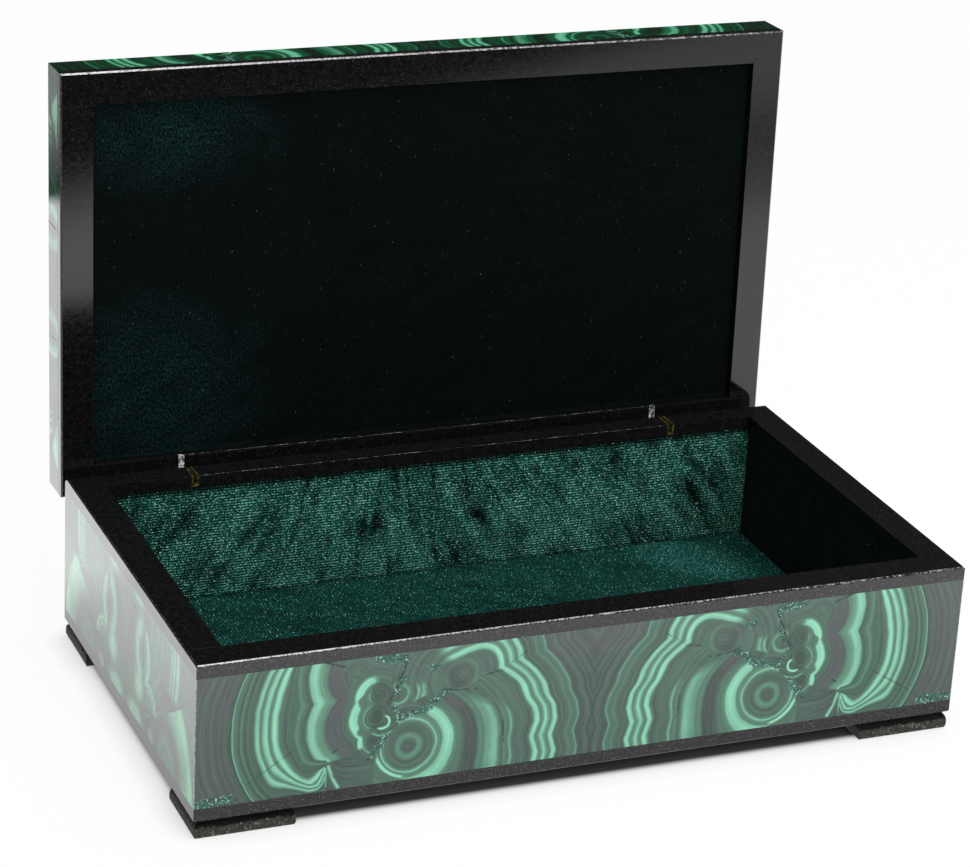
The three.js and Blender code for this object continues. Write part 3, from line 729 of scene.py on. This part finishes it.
def makeMalachite(key, s):
    material, tree, shader, point = newMaterial("malachite_" + key)
    point = inMm(lidFlat(point) if key.startswith("lid") else point)
    x, y, z = apart(point)
    fromMiddle = dict(x=gap(x, 0), y=gap(y, middleY), z=z)
    u, v = (fromMiddle[axis] for axis in s["axes"])
    shiftU, shiftV = s.get("shift", (0, 0))
    u, v = u * s.get("scale", 1) + shiftU, v + shiftV
    tone, purple, crystal, crack = useGroup(patterns[s["pattern"]], u, v)
    dark, violet, middle, light = s["shades"]
    color = mixColor(spread(tone, 0.04, 0.5), mixColor(purple, dark, violet), middle)
    color = mixColor(calc("POWER", spread(tone, 0.5, 1.0), 1.3), color, light)
    sparkle = apart(cells(point, 0.34, output="Color"))[0]
    color = mixColor(crystal * 0.9, color, ramp(sparkle, crystalShades))
    color = mixColor(crack * 0.8, color, "#141d1a")
    # a painted highlight: a thin pale line along the upright corners of the box, where a rounded arris would
    # catch the light
    corner = spread(gap(x, 0), halfWidth - 0.25, halfWidth - 0.1)
    corner = corner * spread(gap(y, middleY), halfDepth - 0.15, halfDepth)
    paleEdgeGlint = spread(cloud(together(tree, x * 0.7, y * 0.7, z * 0.7), 1.2, 3, 0.6), 0.4, 0.6) * corner
    color = mixColor(paleEdgeGlint * 0.45, color, "#cfe6dc")
    dial(shader, {"Base Color": color, "Roughness": 0.05 + crystal * 0.3 + crack * 0.3 + paleEdgeGlint * 0.2})
    height = cloud(point, 6, 1) * 0.4 - crack * 0.6 + crystal * (sparkle * 0.9 - 0.9)
    relief(tree, shader, height, 0.3, 0.0001)
    return material


finishes = {"malachite_" + key: makeMalachite(key, s) for key, s in malachites.items()}
for name in ("black_stone", "lid_black_stone"):
    finishes[name] = makeBlackStone(blackStone, name)


# metal and card

# the steel's pale colour with its low metalness is a painted reflection of a bright room
metals = {
    "brass": dict(color="#8d8246", spot="#2c2812", rough=0.4, metallic=0.5),
    "steel": dict(color="#e6eeeb", spot="#161a19", rough=0.4, metallic=0.2),
}


def makeMetal(key, s):
    material, tree, shader, point = newMaterial(key)
    point = inMm(point)
    # tarnish on the brass; on the steel the same bright and dark mottle is painted highlight and painted
    # reflection
    tarnishAndGlint = cloud(point, 1.1, 3, 0.7)
    color = mixColor(spread(tarnishAndGlint, 0.43, 0.56), s["color"], s["spot"])
    rough = s["rough"] + (tarnishAndGlint - 0.5) * 0.4
    dial(shader, {"Base Color": color, "Metallic": s["metallic"], "Roughness": rough})
    relief(tree, shader, cloud(point, 0.25, 2), 0.2, 0.00005)
    return material


def makeCard():
    material, tree, shader, point = newMaterial("grey_card")
    fibre = cloud(inMm(point), 0.6, 3, 0.6)
    dial(shader, {"Base Color": mixColor(fibre, "#5d564c", "#8b8273"), "Roughness": 0.9})
    relief(tree, shader, fibre, 0.3, 0.0001)
    return material


for key, settings in metals.items():
    finishes[key] = makeMetal(key, settings)
finishes["card"] = makeCard()

# finishes and rounded edges of the CAD nodes

dressing = [  # start of the node's name, finish
    ("base_floor_slab", "black_stone"), ("core_", "black_stone"), ("rail_", "black_stone"),
    ("facing_front", "malachite_front"), ("facing_rear", "malachite_rear"),
    ("facing_left", "malachite_side"), ("facing_right", "malachite_side"),
    ("lid_core", "lid_black_stone"), ("lid_border", "lid_black_stone"),
    ("lid_top", "malachite_lid_top"), ("lid_edge_front", "malachite_lid_front"),
    ("lid_edge_rear", "malachite_lid_front"), ("lid_edge", "malachite_lid_side"),
    ("hinge_clevis", "brass"), ("hinge_pin", "steel"), ("hinge_blade", "steel"),
]
rounding = {  # start of the node's name: how far its edges are rounded in mm, in how many steps
    "base_floor": (0.025, 1), "rail_": (0.025, 1), "lid_border": (0.025, 1), "hinge_blade": (0.35, 3),
}


def roundEdges(obj, width, steps):
    weld = obj.modifiers.new("weld", "WELD")
    weld.merge_threshold = 0.001 * mm
    bevel = obj.modifiers.new("bevel", "BEVEL")
    bevel.width, bevel.segments, bevel.limit_method = width * mm, steps, "ANGLE"
    bevel.angle_limit = math.radians(30)


for name, obj in nodes.items():
    finish = next((finish for start, finish in dressing if name.startswith(start)), None)
    if name.endswith("_card"):
        finish = "card"
    if finish is None:
        continue
    obj.data.materials.clear()
    obj.data.materials.append(finishes[finish])
    for start, (width, steps) in rounding.items():
        if name.startswith(start):
            roundEdges(obj, width, steps)
print("CAD nodes dressed")

# shells from a lattice


def latticeBox(low, high, counts):
    keys, verts, faces = {}, [], []
    step = [(high[i] - low[i]) / counts[i] for i in range(3)]

    def corner(i, j, k):
        if (i, j, k) not in keys:
            keys[(i, j, k)] = len(verts)
            verts.append((low[0] + i * step[0], low[1] + j * step[1], low[2] + k * step[2]))
        return keys[(i, j, k)]

    def face(*corners):
        faces.append([corner(*c) for c in corners])

    nx, ny, nz = counts
    for i in range(nx):
        for j in range(ny):
            face((i, j, 0), (i, j + 1, 0), (i + 1, j + 1, 0), (i + 1, j, 0))
            face((i, j, nz), (i + 1, j, nz), (i + 1, j + 1, nz), (i, j + 1, nz))
    for i in range(nx):
        for k in range(nz):
            face((i, 0, k), (i + 1, 0, k), (i + 1, 0, k + 1), (i, 0, k + 1))
            face((i, ny, k), (i, ny, k + 1), (i + 1, ny, k + 1), (i + 1, ny, k))
    for j in range(ny):
        for k in range(nz):
            face((0, j, k), (0, j, k + 1), (0, j + 1, k + 1), (0, j + 1, k))
            face((nx, j, k), (nx, j + 1, k), (nx, j + 1, k + 1), (nx, j, k + 1))
    return np.array(verts), faces


def addPiece(name, verts, faces, material, smooth=True):
    mesh = bpy.data.meshes.new(name)
    mesh.from_pydata([tuple(v) for v in verts], [], faces)
    mesh.materials.append(material)
    mesh.polygons.foreach_set("use_smooth", [smooth] * len(mesh.polygons))
    mesh.update()
    obj = bpy.data.objects.new(name, mesh)
    bpy.context.scene.collection.objects.link(obj)
    return obj


# feet

footStone = dict(
    color="#20231f", pale="#46483f", chip="#8d8f86", dark="#050605",
    bevel=1.0, bevelFrom=3.3, chamfer=0.35, rag=0.55, ragFrom=2.6, chips=0.08, cell=0.75,
)


def makeFootStone(s):
    material, tree, shader, point = newMaterial("foot_stone")
    point = inMm(point)
    grain = cloud(point, 0.9, 4, 0.7)
    chips = apart(cells(point, 0.5, output="Color"))[0]
    color = mixColor(spread(grain, 0.36, 0.66), s["color"], s["pale"])
    color = mixColor(spread(chips, 0.88, 1.0) * 0.6, color, s["chip"])
    # painted shade: the top of each foot is near black, where the body's overhang shades it
    overhangShade = spread(apart(point)[2] + (cloud(point, 1.7, 3, 0.6) - 0.5) * 2.2, 2.7, 3.1)
    color = mixColor(overhangShade * 0.97, color, s["dark"])
    dial(shader, {"Base Color": color, "Roughness": 0.7 - overhangShade * 0.1, "Specular IOR Level": 0.3})
    relief(tree, shader, grain + chips * 0.3, 0.6, 0.00025)
    return material


finishes["foot_stone"] = makeFootStone(footStone)


def makeFoot(name, s):
    low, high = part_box(name)
    size = [(high[i] - low[i]) / mm for i in range(3)]
    counts = [max(4, round(size[i] / s["cell"])) for i in range(3)]
    verts, faces = latticeBox(low, high, counts)
    middle = (Vector(low) + Vector(high)) / 2
    for vert in verts:
        height = (vert[2] - low[2]) / mm
        cut = max(0.0, (height - s["bevelFrom"]) / (size[2] - s["bevelFrom"])) * s["bevel"]
        ragged = noise.noise(Vector(vert) / mm * 0.8) * 0.5 + 0.5
        cut += ragged * s["rag"] * min(1.0, max(0.0, (height - s["ragFrom"]) / 1.2))
        cut += max(0.0, s["chamfer"] - height)
        cut += s["chips"] * (noise.noise(Vector(vert) / mm * 1.6) * 0.5 + 0.5)
        for axis in (0, 1):
            half = (high[axis] - low[axis]) / 2
            away = (vert[axis] - middle[axis]) / half
            vert[axis] = middle[axis] + away * (half - cut * mm)
    obj = addPiece(name + "_stone", verts, faces, finishes["foot_stone"], smooth=False)
    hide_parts(name)
    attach(obj, "base")


for name in nodes:
    if name.startswith("foot_"):
        makeFoot(name, footStone)
print("feet ready")

# velvet

velvets = {  # one for each lined plate: which way it faces, how its ribs run, how its pile catches light; each plate's colours are painted lighter or darker for how its pile catches the light
    "lining_rear": dict(
        face="-y", along="x", ribs="z", body="base", tuft=(0.6, 0.42),
        crush=1.0, sheen=0.15, glintDots=1.0, tips=2.7,
        deep="#020b0a", mid="#0f4a3f", glintDotColor="#9af0d8", glint="#ccffee",
    ),
    "lining_floor": dict(
        face="+z", along="y", ribs="x", body="base", tuft=(1.3, 0.5), nap=(0.3, 0.68),
        crush=0.9, sheen=0.1, glintDots=1.0, tips=1.1,
        deep="#041a18", mid="#103a34", glintDotColor="#46a294", glint="#c4f4ea",
        sweep=(92, 28, 14, 18, 0.5),
    ),
    "lining_right": dict(
        face="-x", along="y", ribs="z", body="base", tuft=(1.6, 0.5),
        crush=0.5, sheen=0.0, glintDots=0.5, tips=0.05,
        deep="#0f1413", mid="#1b2523", glintDotColor="#34443f", glint="#39544c",
    ),
    "lining_left": dict(
        face="+x", along="y", ribs="z", body="base", tuft=(1.2, 0.5),
        crush=0.9, sheen=0.2, glintDots=0.8, tips=0.8,
        deep="#031512", mid="#11392f", glintDotColor="#6fbcaa", glint="#9fd8ca",
    ),
    "lining_front": dict(
        face="+y", along="x", ribs="z", body="base", tuft=(0.95, 0.5),
        crush=0.9, sheen=0.2, glintDots=0.8, tips=0.8,
        deep="#031512", mid="#0e332b", glintDotColor="#6fbcaa", glint="#9fd8ca",
    ),
    "lid_lining": dict(
        face="-z", along="y", ribs="x", body="lid", tuft=(0.9, 0.5), nap=(0.26, 0.74),
        crush=0.8, sheen=0.0, glintDots=0.4, tips=0.25,
        deep="#050808", mid="#0a1111", glintDotColor="#152927", glint="#3c5856",
    ),
}
pile = dict(ribPitch=0.85, ribHeight=0.1, cellAlong=1.6, roll=0.5, dent=0.16, pucker=0.05, railShadowDepth=2.6)
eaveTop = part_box("lining_rear_velvet")[1][2] / mm


def brushedOf(a, b, s):  # painted sheen: 1 where the nap leans towards the light, 0 where it is crushed the other way
    tree = a.tree
    strokes = together(tree, a * 0.87 + b * spread(a, -50, 10, -0.55, 0.55), b * 0.24)
    crushed = cloud(strokes, 5.0, 3, 0.55) * 0.62 + cloud(together(tree, a, b, 5.0), 12, 4, 0.62) * 0.38
    brushed = spread(crushed, *s.get("nap", (0.38, 0.58)))
    if s["ribs"] == "z":  # painted shadow, dark in the shelter of the rail
        brushed = brushed * spread(b, eaveTop - pile["railShadowDepth"], eaveTop - 0.4, 1.0, 0.1, smooth=True)
    # a painted sheen: a lighter brushed patch
    if s.get("sweep"):
        u, v, reachU, reachV, slant = s["sweep"]
        brushed = most(brushed, patch(together(tree, b + a * slant, a), u, v, reachU, reachV, 0.6) * 1.5)
    return brushed


def makeVelvet(key, s):
    material, tree, shader, point = newMaterial("velvet_" + key)
    onLid = s["body"] == "lid"
    parts = dict(zip("xyz", apart(inMm(lidFlat(point) if onLid else point))))
    a, b = parts[s["along"]], parts[s["ribs"]]
    brushed = brushedOf(a, b, s)
    rows = calc("SINE", b * (2 * math.pi / pile["ribPitch"])) * 0.5 + 0.5
    tufts = cloud(together(tree, a / s["tuft"][0], b / s["tuft"][1]), 1.0, 2, 0.6)
    # crush sets how strongly the painted sheen varies
    light = blendOf(s["crush"], 0.6, brushed)
    # painted shade: darker in the hollows between the ribs and where the nap is crushed, lighter on the
    # crests
    color = mixColor(calc("MULTIPLY", light, rows * 0.5 + 0.6, clamp=True), s["deep"], s["mid"])
    # painted highlights: pale dots on the tufts
    glintDots = spread(tufts, 0.5, 0.64) * spread(rows, 0.3, 0.85) * (light * 0.95 + 0.05) * s["glintDots"]
    color = mixColor(glintDots, color, s["glintDotColor"])
    if onLid:  # two painted sheens, brushed places that catch the light
        plan = together(tree, parts["x"], parts["y"])
        sweep = most(patch(plan, -78, -52, 22, 12, 0.9), patch(plan, -84, 24, 26, 22, 0.9))
        color = mixColor(sweep * (brushed + 0.1) * spread(tufts, 0.45, 0.62) * 0.5, color, "#1c4d4a")
    dial(shader, {"Base Color": color, "Roughness": 0.95, "Specular IOR Level": 0.05})
    dial(shader, {"Sheen Weight": s["sheen"], "Sheen Roughness": 0.35, "Sheen Tint": linear("#2f9c86")})
    relief(tree, shader, tufts * 0.6 + brushed * 1.2, 0.5, 0.0003)
    return material


def velvetSheet(key, s):
    node = key + "_velvet"
    onLid = s["body"] == "lid"
    corners = np.array([v.co[:] for v in nodes[node].data.vertices])
    if onLid:
        corners = np.array([(closeLid @ Vector(c))[:] for c in corners])
    low, high = corners.min(0), corners.max(0)
    axis = "xyz".index(s["face"][1])
    outward = 1 if s["face"][0] == "+" else -1
    acrossAxis, upAxis = "xyz".index(s["along"]), "xyz".index(s["ribs"])
    size = (high - low) / mm
    counts = [2, 2, 2]
    counts[acrossAxis] = max(8, round(size[acrossAxis] / pile["cellAlong"]))
    counts[upAxis] = max(8, round(size[upAxis] / pile["ribPitch"] * 3))
    verts, faces = latticeBox(low, high, counts)
    thickness = size[axis]
    top = high[axis] if outward > 0 else low[axis]
    onTop = np.abs(verts[:, axis] - top) < 1e-7
    for index in np.nonzero(onTop)[0]:
        vert = verts[index]
        edge = min(vert[acrossAxis] - low[acrossAxis], high[acrossAxis] - vert[acrossAxis],
                   vert[upAxis] - low[upAxis], high[upAxis] - vert[upAxis]) / mm
        roll = max(0.0, 1 - edge / pile["roll"]) ** 2 * 0.35 * thickness
        place = Vector((vert[acrossAxis], vert[upAxis], 0.3 * axis)) / mm
        dent = pile["dent"] * (noise.noise(place * 0.09) * 0.5 + 0.5)
        dent += pile["pucker"] * (noise.noise(place * 0.45) + 0.5)
        rib = pile["ribHeight"] * (0.5 - 0.5 * math.cos(2 * math.pi * vert[upAxis] / mm / pile["ribPitch"]))
        vert[axis] -= outward * mm * min(0.6 * thickness, roll + dent + rib)
    growTips(key, s, verts, faces, axis, outward)
    if onLid:
        verts = np.array([(openLid @ Vector(v))[:] for v in verts])
    obj = addPiece(node + "_sheet", verts, faces, makeVelvet(key, s))
    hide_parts(node)
    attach(obj, s["body"])
    key + "_card"


# glistening tips of the pile, grown on the faces of the velvet that show

tip = dict(length=0.42, width=0.1, lean=0.35, scatter=0.25, smallest=0.4, largest=1.4)


def makeGlint(key, s):
    material, _, shader, point = newMaterial("pile_tips_" + key)
    shade = cloud(inMm(point), 0.45, 1)
    # painted glint: the tips are coloured pale, besides their own specular shine
    color = mixColor(spread(shade, 0.35, 0.62), s["mid"], s["glint"])
    dial(shader, {"Base Color": color, "Roughness": 0.3, "Specular IOR Level": 0.6})
    return material


def tipTree(key, s, axis, outward):
    tree = bpy.data.node_groups.new("pile_tips_" + key, "GeometryNodeTree")
    tree.interface.new_socket(name="Geometry", in_out="INPUT", socket_type="NodeSocketGeometry")
    for socket in ("Tips per square mm", "Tip length", "Tip width"):
        tree.interface.new_socket(name=socket, in_out="INPUT", socket_type="NodeSocketFloat")
    tree.interface.new_socket(name="Seed", in_out="INPUT", socket_type="NodeSocketInt")
    tree.interface.new_socket(name="Geometry", in_out="OUTPUT", socket_type="NodeSocketGeometry")
    add = tree.nodes.new
    entry, leave = add("NodeGroupInput"), add("NodeGroupOutput")
    amount, length, width = (Field(tree, socket) for socket in entry.outputs[1:4])
    position = Field(tree, add("GeometryNodeInputPosition").outputs[0])
    parts = dict(zip("xyz", apart(inMm(position))))
    a, b = parts[s["along"]], parts[s["ribs"]]
    normal = Field(tree, add("GeometryNodeInputNormal").outputs[0])
    face = [0.0, 0.0, 0.0]
    face[axis] = float(outward)
    showing = spread(arrow("DOT_PRODUCT", normal, tuple(face)), 0.6, 0.7)
    crest = spread(calc("COSINE", b * (2 * math.pi / pile["ribPitch"])), -0.2, -0.8, 0.15, 1.0)
    # more tips where the painted sheen is lighter
    density = amount * showing * crest * blendOf(brushedOf(a, b, s), 0.12, 1.25) * 1e6
    scatter = add("GeometryNodeDistributePointsOnFaces")
    dial(scatter, {"Density": density})
    # a tip is a tiny leaning cone, laid mostly along its rib
    cone = add("GeometryNodeMeshCone")
    dial(cone, {"Vertices": 3, "Radius Bottom": width, "Radius Top": 0.0, "Depth": length})
    spin = add("FunctionNodeRandomValue")
    spin.data_type = "FLOAT_VECTOR"
    wide = [tip["scatter"]] * 3
    wide["xyz".index(s["along"])] = 1.0
    spin.inputs[0].default_value, spin.inputs[1].default_value = [-w for w in wide], wide
    lean = arrow("ADD", Field(tree, spin.outputs[0]), tuple(part * tip["lean"] for part in face))
    aim = add("FunctionNodeAlignRotationToVector")
    aim.axis = "Z"
    dial(aim, {"Vector": lean})
    size = add("FunctionNodeRandomValue")
    size.inputs[2].default_value, size.inputs[3].default_value = tip["smallest"], tip["largest"]
    copies = add("GeometryNodeInstanceOnPoints")
    real, finish = add("GeometryNodeRealizeInstances"), add("GeometryNodeSetMaterial")
    dial(finish, {"Material": finishes["pile_tips_" + key]})
    for source, target in (
        (entry.outputs["Geometry"], scatter.inputs["Mesh"]),
        (entry.outputs["Seed"], scatter.inputs["Seed"]),
        (scatter.outputs["Points"], copies.inputs["Points"]),
        (cone.outputs["Mesh"], copies.inputs["Instance"]),
        (aim.outputs[0], copies.inputs["Rotation"]), (size.outputs[1], copies.inputs["Scale"]),
        (copies.outputs[0], real.inputs[0]), (real.outputs[0], finish.inputs["Geometry"]),
        (finish.outputs[0], leave.inputs[0]),
    ):
        tree.links.new(source, target)
    return tree


grown = {"base": [], "lid": []}


def growTips(key, s, verts, faces, axis, outward):
    glint = finishes["pile_tips_" + key] = makeGlint(key, s)
    obj = addPiece("tips_" + key, verts, faces, glint, smooth=False)
    modifier = obj.modifiers.new("pile_tips", "NODES")
    tree = tipTree(key, s, axis, outward)
    modifier.node_group = tree
    values = {"Tips per square mm": s["tips"], "Tip length": tip["length"] * mm,
              "Tip width": tip["width"] * mm, "Seed": 7 + len(grown["base"])}
    for item in tree.interface.items_tree:
        if item.name in values:
            modifier[item.identifier] = values[item.name]
    shown = obj.evaluated_get(bpy.context.evaluated_depsgraph_get())
    mesh = bpy.data.meshes.new_from_object(shown)
    if s["body"] == "lid":
        mesh.transform(openLid)
    grown[s["body"]].append((mesh, glint))
    bpy.data.objects.remove(obj)


def joinTips(body):  # one plain mesh for each body
    verts, faces, slots, materials = [], [], [], []
    for mesh, material in grown[body]:
        start = len(verts)
        verts += [v.co[:] for v in mesh.vertices]
        faces += [[start + i for i in p.vertices] for p in mesh.polygons]
        slots += [len(materials)] * len(mesh.polygons)
        materials.append(material)
    obj = addPiece(body + "_pile_tips", verts, faces, materials[0], smooth=False)
    for material in materials[1:]:
        obj.data.materials.append(material)
    obj.data.polygons.foreach_set("material_index", slots)
    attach(obj, body)
    print(body, "pile tips:", len(faces) // 4)


for key, settings in velvets.items():
    velvetSheet(key, settings)
for body in grown:
    joinTips(body)
print("velvet sheets ready")

# colour view

bpy.context.scene.view_settings.view_transform = "Standard"
